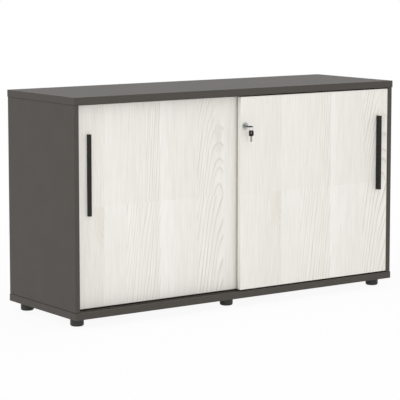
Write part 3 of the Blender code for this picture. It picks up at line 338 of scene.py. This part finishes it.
        # a patch ends at its stave's edge and where the staves butt
        within = addNode(tree, "Math", {0: across, 1: edge}, operation="LESS_THAN")
        soft = addNode(tree, "Math", {0: soft, 1: within}, operation="MULTIPLY")
        isHigh = oval[1] > p["butt"]
        row = addNode(tree, "MapRange", {0: isUpper, 3: float(not isHigh), 4: float(isHigh)})
        soft = addNode(tree, "Math", {0: soft, 1: row}, operation="MULTIPLY")
        fade = addNode(tree, "MapRange", {0: soft, 3: 1.0, 4: 1.0 - hidden})
        lines = addNode(tree, "Math", {0: lines, 1: fade}, operation="MULTIPLY")
        patches.append((away, soft, warm, dark))
    # fibres and streaks run the height of the door
    thinScale = (1 / p["fibre"][0], 1 / p["fibre"][0], 1 / p["fibre"][1])
    thin = addNode(tree, "VectorMath", {0: spot, 1: thinScale}, operation="MULTIPLY")
    fibre = addNode(tree, "TexNoise", {"Vector": thin, "Scale": 1.0, "Detail": 3.0})
    wideScale = (1 / p["streak"][0], 1 / p["streak"][0], 1 / p["streak"][1])
    wide = addNode(tree, "VectorMath", {0: spot, 1: wideScale}, operation="MULTIPLY")
    streak = addNode(tree, "TexNoise", {"Vector": wide, "Scale": 1.0, "Detail": 3.0})
    fine = addNode(tree, "MapRange", {0: fibre, **grainSpan, 3: -p["fibreTone"], 4: p["fibreTone"]})
    broad = addNode(tree, "MapRange", {0: streak, **grainSpan, 3: -p["streakTone"], 4: p["streakTone"]})
    mixed = addNode(tree, "Math", {0: tone.outputs[2], 1: broad}, operation="ADD")
    mixed = addNode(tree, "Math", {0: mixed, 1: fine}, operation="ADD")
    contrast = p["contrast"] / p["toneSpan"]
    mixed = addNode(tree, "Math", {0: lines, 1: contrast, 2: mixed}, operation="MULTIPLY_ADD")
    warmth = 0.0
    # rings run round each patch
    for away, soft, warm, dark in patches:
        ripple = addNode(tree, "Math", {0: away, 1: p["ripples"], 2: p["ripple"]}, operation="MULTIPLY_ADD")
        ripple = addNode(tree, "Math", {0: ripple}, operation="SINE")
        shade = addNode(tree, "Math", {0: ripple, 1: -p["rippleTone"], 2: -dark}, operation="MULTIPLY_ADD")
        mixed = addNode(tree, "Math", {0: shade, 1: soft, 2: mixed}, operation="MULTIPLY_ADD")
        warmth = addNode(tree, "Math", {0: soft, 1: warm, 2: warmth}, operation="MULTIPLY_ADD")
    darkWood, paleWood, warmWood = [hexToLinear(p[key]) for key in ("dark", "pale", "warm")]
    wood = addNode(tree, "Mix", {0: mixed, 6: darkWood, 7: paleWood}, data_type="RGBA")
    wood = addNode(tree, "Mix", {0: warmth, 6: wood.outputs[2], 7: warmWood}, data_type="RGBA")
    # the edge band's paler colour is partly painted light on the doors' side faces, which lie in shade
    # between the doors
    band, line = markEdging(tree, spot, board, p["edgingSize"])
    edged = addNode(tree, "Mix", {0: band, 6: wood.outputs[2], 7: hexToLinear(p["edging"])}, data_type="RGBA")
    glued = addNode(tree, "Mix", {0: line, 6: edged.outputs[2], 7: hexToLinear(p["glue"])}, data_type="RGBA")
    tree.links.new(glued.outputs[2], shader.inputs["Base Color"])
    pores = {"Strength": p["poreStrength"], "Distance": p["poreDepth"], "Height": fibre}
    bump = addNode(tree, "Bump", pores)
    tree.links.new(bump.outputs[0], shader.inputs["Normal"])
    low, high = p["roughness"] - p["vary"], p["roughness"] + p["vary"]
    rough = addNode(tree, "MapRange", {0: fibre, **noiseSpan, 3: low, 4: high})
    tree.links.new(rough.outputs[0], shader.inputs["Roughness"])
    return material


for board, (name, shift) in pine["doors"].items():
    giveMaterial([board], makePine(name, board, shift))
print("doors dressed:", len(pine["doors"]))

# Plain parts that differ only in their stuff and finish.
# Each has its nodes, the two colours of its cloudy tone, the size of the clouds and of the grain (mm),
# the depth of the grain (m) and how strongly it shows, its roughness and how much that varies, and its
# metallic and sheen.
finishes = {
    # steel with black powder coat: melted powder leaves a slight orange peel, so the highlights are broad
    # and soft
    "powderCoatedSteelHandle": {
        "nodes": ["left_handle", "right_handle"],
        "dark": "#151614", "light": "#1a1b19", "cloud": 14.0,
        "grain": 1.4, "depth": 0.00006, "strength": 0.5,
        "roughness": 0.42, "vary": 0.05, "metallic": 0.0, "sheen": 0.25,
    },
    # moulded polypropylene with a spark-eroded skin: dark, slightly dusty, with a dull sheen
    "mouldedPolypropyleneFoot": {
        "nodes": ["foot_%s_%s" % (a, b) for a in ("front", "back") for b in ("left", "middle", "right")],
        "dark": "#373736", "light": "#40403f", "cloud": 9.0,
        "grain": 0.8, "depth": 0.00006, "strength": 0.5,
        "roughness": 0.48, "vary": 0.06, "metallic": 0.0, "sheen": 0.25,
    },
    # zinc die casting with satin nickel plate: pale grey metal, faint turning rings
    "satinNickelLock": {
        "nodes": ["lock_barrel", "lock_nut"],
        "dark": "#acb1ae", "light": "#babfbb", "cloud": 6.0,
        "grain": 0.5, "depth": 0.00001, "strength": 0.3,
        "roughness": 0.3, "vary": 0.05, "metallic": 1.0, "sheen": 0.5,
    },
    # turned brass with nickel plate, worn a little by the key
    "nickelPlatedPlug": {
        "nodes": ["lock_plug", "lock_cam", "key_blade", "spare_key_blade"],
        "dark": "#92928f", "light": "#a6a6a3", "cloud": 3.0,
        "grain": 0.4, "depth": 0.00001, "strength": 0.4,
        "roughness": 0.28, "vary": 0.08, "metallic": 1.0, "sheen": 0.5,
    },
    # spring steel wire, drawn and nickel plated: a thin bright line along the wire
    "drawnSteelRing": {
        "nodes": ["key_ring"],
        "dark": "#a5a7a9", "light": "#b9bbbd", "cloud": 3.0,
        "grain": 0.4, "depth": 0.00001, "strength": 0.3,
        "roughness": 0.25, "vary": 0.05, "metallic": 1.0, "sheen": 0.5,
    },
    # moulded soft plastic on the key: nearly black with a brown cast
    "mouldedKeyBowPlastic": {
        "nodes": ["key_bow", "spare_key_bow"],
        "dark": "#161412", "light": "#1d1b18", "cloud": 5.0,
        "grain": 0.5, "depth": 0.00004, "strength": 0.5,
        "roughness": 0.55, "vary": 0.06, "metallic": 0.0, "sheen": 0.15,
    },
    # cold-headed steel with zinc plate: blue-grey, slightly uneven
    "zincPlatedScrewSteel": {
        "nodes": [
            "left_handle_screw_upper", "left_handle_screw_lower",
            "right_handle_screw_upper", "right_handle_screw_lower",
            "cam_screw", "strike_screw_upper", "strike_screw_lower", "strike_plate",
        ],
        "dark": "#a0a4a8", "light": "#b9bcbe", "cloud": 2.5,
        "grain": 0.4, "depth": 0.00002, "strength": 0.4,
        "roughness": 0.36, "vary": 0.08, "metallic": 1.0, "sheen": 0.5,
    },
    # turned steel with nickel plate: small clean highlights along the pins
    "nickelPlatedShelfPin": {
        "nodes": [
            "%s_shelf_pin_%s_%s" % (a, b, c)
            for a in ("left", "right") for b in ("outer", "inner") for c in ("front", "rear")
        ],
        "dark": "#9ea1a3", "light": "#b4b6b8", "cloud": 2.5,
        "grain": 0.4, "depth": 0.00001, "strength": 0.3,
        "roughness": 0.3, "vary": 0.06, "metallic": 1.0, "sheen": 0.5,
    },
    # extruded PVC in the dark grey of the boards: an even, slightly waxy sheen
    "extrudedTrackPlastic": {
        "nodes": ["running_track", "guide_track", "left_door_stop", "right_door_stop"],
        "dark": "#3b3732", "light": "#433f39", "cloud": 12.0,
        "grain": 0.7, "depth": 0.00004, "strength": 0.4,
        "roughness": 0.4, "vary": 0.06, "metallic": 0.0, "sheen": 0.25,
    },
    # moulded black polyamide: dark, with faint flow marks in a dull sheen
    "mouldedBlackPolyamideCarrier": {
        "nodes": [
            "%s_door_%s_%s" % (a, b, c)
            for a in ("left", "right") for b in ("carrier", "guide") for c in ("left", "right")
        ],
        "dark": "#2a2a2a", "light": "#333333", "cloud": 8.0,
        "grain": 0.7, "depth": 0.00004, "strength": 0.4,
        "roughness": 0.42, "vary": 0.06, "metallic": 0.0, "sheen": 0.25,
    },
    # turned black acetal: waxy, with a narrower highlight than the carriers
    "turnedBlackAcetalRoller": {
        "nodes": ["%s_door_roller_%s" % (a, b) for a in ("left", "right") for b in ("left", "right")],
        "dark": "#303030", "light": "#3a3a3a", "cloud": 5.0,
        "grain": 0.5, "depth": 0.00002, "strength": 0.3,
        "roughness": 0.32, "vary": 0.05, "metallic": 0.0, "sheen": 0.25,
    },
}


def makeFinish(name, f):
    material, tree, shader, spot = startMaterial(name, f["roughness"], f["metallic"])
    cloud = addNode(tree, "TexNoise", {"Vector": spot, "Scale": 1 / f["cloud"], "Detail": 3.0})
    stops = [(noiseSpan[1], f["dark"]), (noiseSpan[2], f["light"])]
    tone = addNode(tree, "ValToRGB", {0: cloud}, stops)
    tree.links.new(tone.outputs[0], shader.inputs["Base Color"])
    shader.inputs["Specular IOR Level"].default_value = f["sheen"]
    grain = addNode(tree, "TexNoise", {"Vector": spot, "Scale": 1 / f["grain"], "Detail": 2.0})
    bump = addNode(tree, "Bump", {"Strength": f["strength"], "Distance": f["depth"], "Height": grain})
    tree.links.new(bump.outputs[0], shader.inputs["Normal"])
    low, high = f["roughness"] - f["vary"], f["roughness"] + f["vary"]
    rough = addNode(tree, "MapRange", {0: grain, **noiseSpan, 3: low, 4: high})
    tree.links.new(rough.outputs[0], shader.inputs["Roughness"])
    return material


for name, finish in finishes.items():
    giveMaterial(finish["nodes"], makeFinish(name, finish))
print("small parts dressed:", sum(len(f["nodes"]) for f in finishes.values()))

# Moulded polyethylene caps over the cam fittings that hold the boards together, on the inner faces of the
# panels. They show once a door is open: small low domes with a soft rim, in the grey of the boards.
camCaps = {
    "radius": 0.0085,           # m, as all sizes here
    "rise": 0.0008,
    "sunk": 0.0003,
    "depths": (-0.108, 0.188),  # y of the front and the rear caps
    "fromBoard": 0.034,         # from the top or the bottom board to a cap's middle
    "faces": {"left_side_panel": (1,), "centre_divider": (-1, 1), "right_side_panel": (-1,)},
    "sides": 48,
    # the dome from its rim to the flat in its middle: share of the radius, share of the rise
    "dome": [
        (1.0, 0.3), (0.985, 0.55), (0.94, 0.8), (0.86, 0.95),
        (0.76, 1.0), (0.72, 0.9), (0.66, 0.9), (0.62, 1.0),
    ],
    "finish": {
        "dark": "#3d3934", "light": "#46413b", "cloud": 6.0,
        "grain": 0.5, "depth": 0.00002, "strength": 0.4,
        "roughness": 0.38, "vary": 0.05, "metallic": 0.0, "sheen": 0.35,
    },
}


def addCap(mesh, place, way):
    c = camCaps
    x, y, z = place
    rings = []
    turns = [2 * math.pi * i / c["sides"] for i in range(c["sides"])]
    # the first ring is the cap's foot, sunk into the panel
    for share, rise in [(1.0, -c["sunk"] / c["rise"])] + c["dome"]:
        radius = share * c["radius"]
        out = x + way * rise * c["rise"]
        spots = [(out, y + radius * math.cos(t), z + way * radius * math.sin(t)) for t in turns]
        rings.append([mesh.verts.new(spot) for spot in spots])
    for inner, outer in zip(rings, rings[1:]):
        for i in range(c["sides"]):
            j = (i + 1) % c["sides"]
            mesh.faces.new((inner[i], inner[j], outer[j], outer[i])).smooth = True
    mesh.faces.new(rings[-1])
    mesh.faces.new(rings[0][::-1])


def makeCamCaps():
    c = camCaps
    mesh = bmesh.new()
    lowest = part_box("bottom_board")[1][2] + c["fromBoard"]
    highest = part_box("top_board")[0][2] - c["fromBoard"]
    for panel, ways in c["faces"].items():
        low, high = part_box(panel)
        for way in ways:
            for y in c["depths"]:
                for z in (lowest, highest):
                    addCap(mesh, (high[0] if way > 0 else low[0], y, z), way)
    made = bpy.data.meshes.new("cam_caps")
    mesh.to_mesh(made)
    mesh.free()
    caps = bpy.data.objects.new("cam_caps", made)
    bpy.context.collection.objects.link(caps)
    made.materials.append(makeFinish("mouldedPolyethyleneCap", c["finish"]))
    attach(caps, "cabinet_frame")


makeCamCaps()
print("cam caps made")

# plain white paper floor and a white room
studio = {
    "paper": "#f4f4f4",
    "floorSize": 40.0,
    # share of its white that the paper always shows in the background, near the cabinet and far off
    "paperGlow": (0.93, 1.0),
    "near": (1.0, 2.6),     # m from the middle, between which the share rises
    "roomLight": 0.82,
    "aimHeight": 0.4,       # m, where on the cabinet's middle line the lamps point
    # places and sizes in m, power in W
    "lamps": {
        "leftBox": {"place": (-5.6, 0.6, 2.0), "size": 3.0, "power": 34.0},
        "frontBox": {"place": (-1.3, -5.3, 0.9), "size": 1.7, "power": 46.0},
        "topBox": {"place": (0.3, 0.2, 3.8), "size": 3.0, "power": 6.0},
    },
}


# 1 on the rays that make the picture's background, straight, mirrored or let through, and 0 on the others
def markSeen(tree):
    path = addNode(tree, "LightPath")
    straight, mirrored, through = [
        path.outputs["Is %s Ray" % kind] for kind in ("Camera", "Glossy", "Transmission")
    ]
    seen = addNode(tree, "Math", {0: straight, 1: mirrored}, operation="MAXIMUM")
    return addNode(tree, "Math", {0: seen, 1: through}, operation="MAXIMUM")


def makeFloor():
    mesh = bpy.data.meshes.new("paperFloor")
    half = studio["floorSize"] / 2
    corners = [(-half, -half, 0), (half, -half, 0), (half, half, 0), (-half, half, 0)]
    mesh.from_pydata(corners, [], [(0, 1, 2, 3)])
    floor = bpy.data.objects.new("paperFloor", mesh)
    bpy.context.collection.objects.link(floor)
    material = bpy.data.materials.new("whiteStudioPaper")
    material.use_nodes = True
    tree = material.node_tree
    tree.nodes.remove(tree.nodes["Principled BSDF"])
    seen = markSeen(tree)
    where = addNode(tree, "TexCoord")
    away = addNode(tree, "VectorMath", {0: where.outputs["Object"]}, operation="LENGTH")
    near, far = studio["near"]
    low, high = studio["paperGlow"]
    reach = {0: away.outputs["Value"], 1: near, 2: far, 3: low, 4: high}
    rising = addNode(tree, "MapRange", reach, interpolation_type="SMOOTHSTEP")
    share = addNode(tree, "Math", {0: seen, 1: rising}, operation="MULTIPLY")
    paper = addNode(tree, "BsdfDiffuse", {"Color": hexToLinear(studio["paper"])})
    glow = addNode(tree, "Emission", {"Color": (1, 1, 1, 1), "Strength": 1.0})
    both = addNode(tree, "MixShader", {0: share, 1: paper, 2: glow})
    tree.links.new(both.outputs[0], tree.nodes["Material Output"].inputs["Surface"])
    mesh.materials.append(material)


def makeRoom():
    world = bpy.data.worlds.new("whiteRoom")
    bpy.context.scene.world = world
    world.use_nodes = True
    tree = world.node_tree
    strength = addNode(tree, "MapRange", {0: markSeen(tree), 3: studio["roomLight"], 4: 1.0})
    backdrop = tree.nodes["Background"]
    backdrop.inputs["Color"].default_value = (1, 1, 1, 1)
    tree.links.new(strength.outputs[0], backdrop.inputs["Strength"])


def makeLamps():
    for name, setting in studio["lamps"].items():
        lamp = bpy.data.lights.new(name, "AREA")
        lamp.shape = "SQUARE"
        lamp.size = setting["size"]
        lamp.energy = setting["power"]
        box = bpy.data.objects.new(name, lamp)
        bpy.context.collection.objects.link(box)
        x, y, z = setting["place"]
        flat = math.hypot(x, y)
        box.location = setting["place"]
        # turned so that it faces the middle of the cabinet
        box.rotation_euler = (math.atan2(flat, z - studio["aimHeight"]), 0, math.atan2(x, -y))


makeFloor()
makeRoom()
makeLamps()
print("studio ready")

# long lens from the front left, a little above the top board
camera = {
    "place": (-3.8032, -5.2658, 1.2542),
    "turn": 35.519,         # degrees, to the right
    "down": 6.553,          # degrees
    "lens": 161.96,         # mm
    "sensor": 36.0,
    "shift": -0.1,
    "reach": 100.0,         # m
}
lens = bpy.data.cameras.new("viewCamera")
lens.lens = camera["lens"]
lens.sensor_width = camera["sensor"]
lens.shift_y = camera["shift"]
lens.clip_end = camera["reach"]
eye = bpy.data.objects.new("viewCamera", lens)
eye.location = camera["place"]
eye.rotation_euler = (math.radians(90 - camera["down"]), 0, math.radians(-camera["turn"]))
bpy.context.collection.objects.link(eye)
bpy.context.scene.camera = eye
bpy.context.scene.view_settings.view_transform = "Standard"
print("camera set")
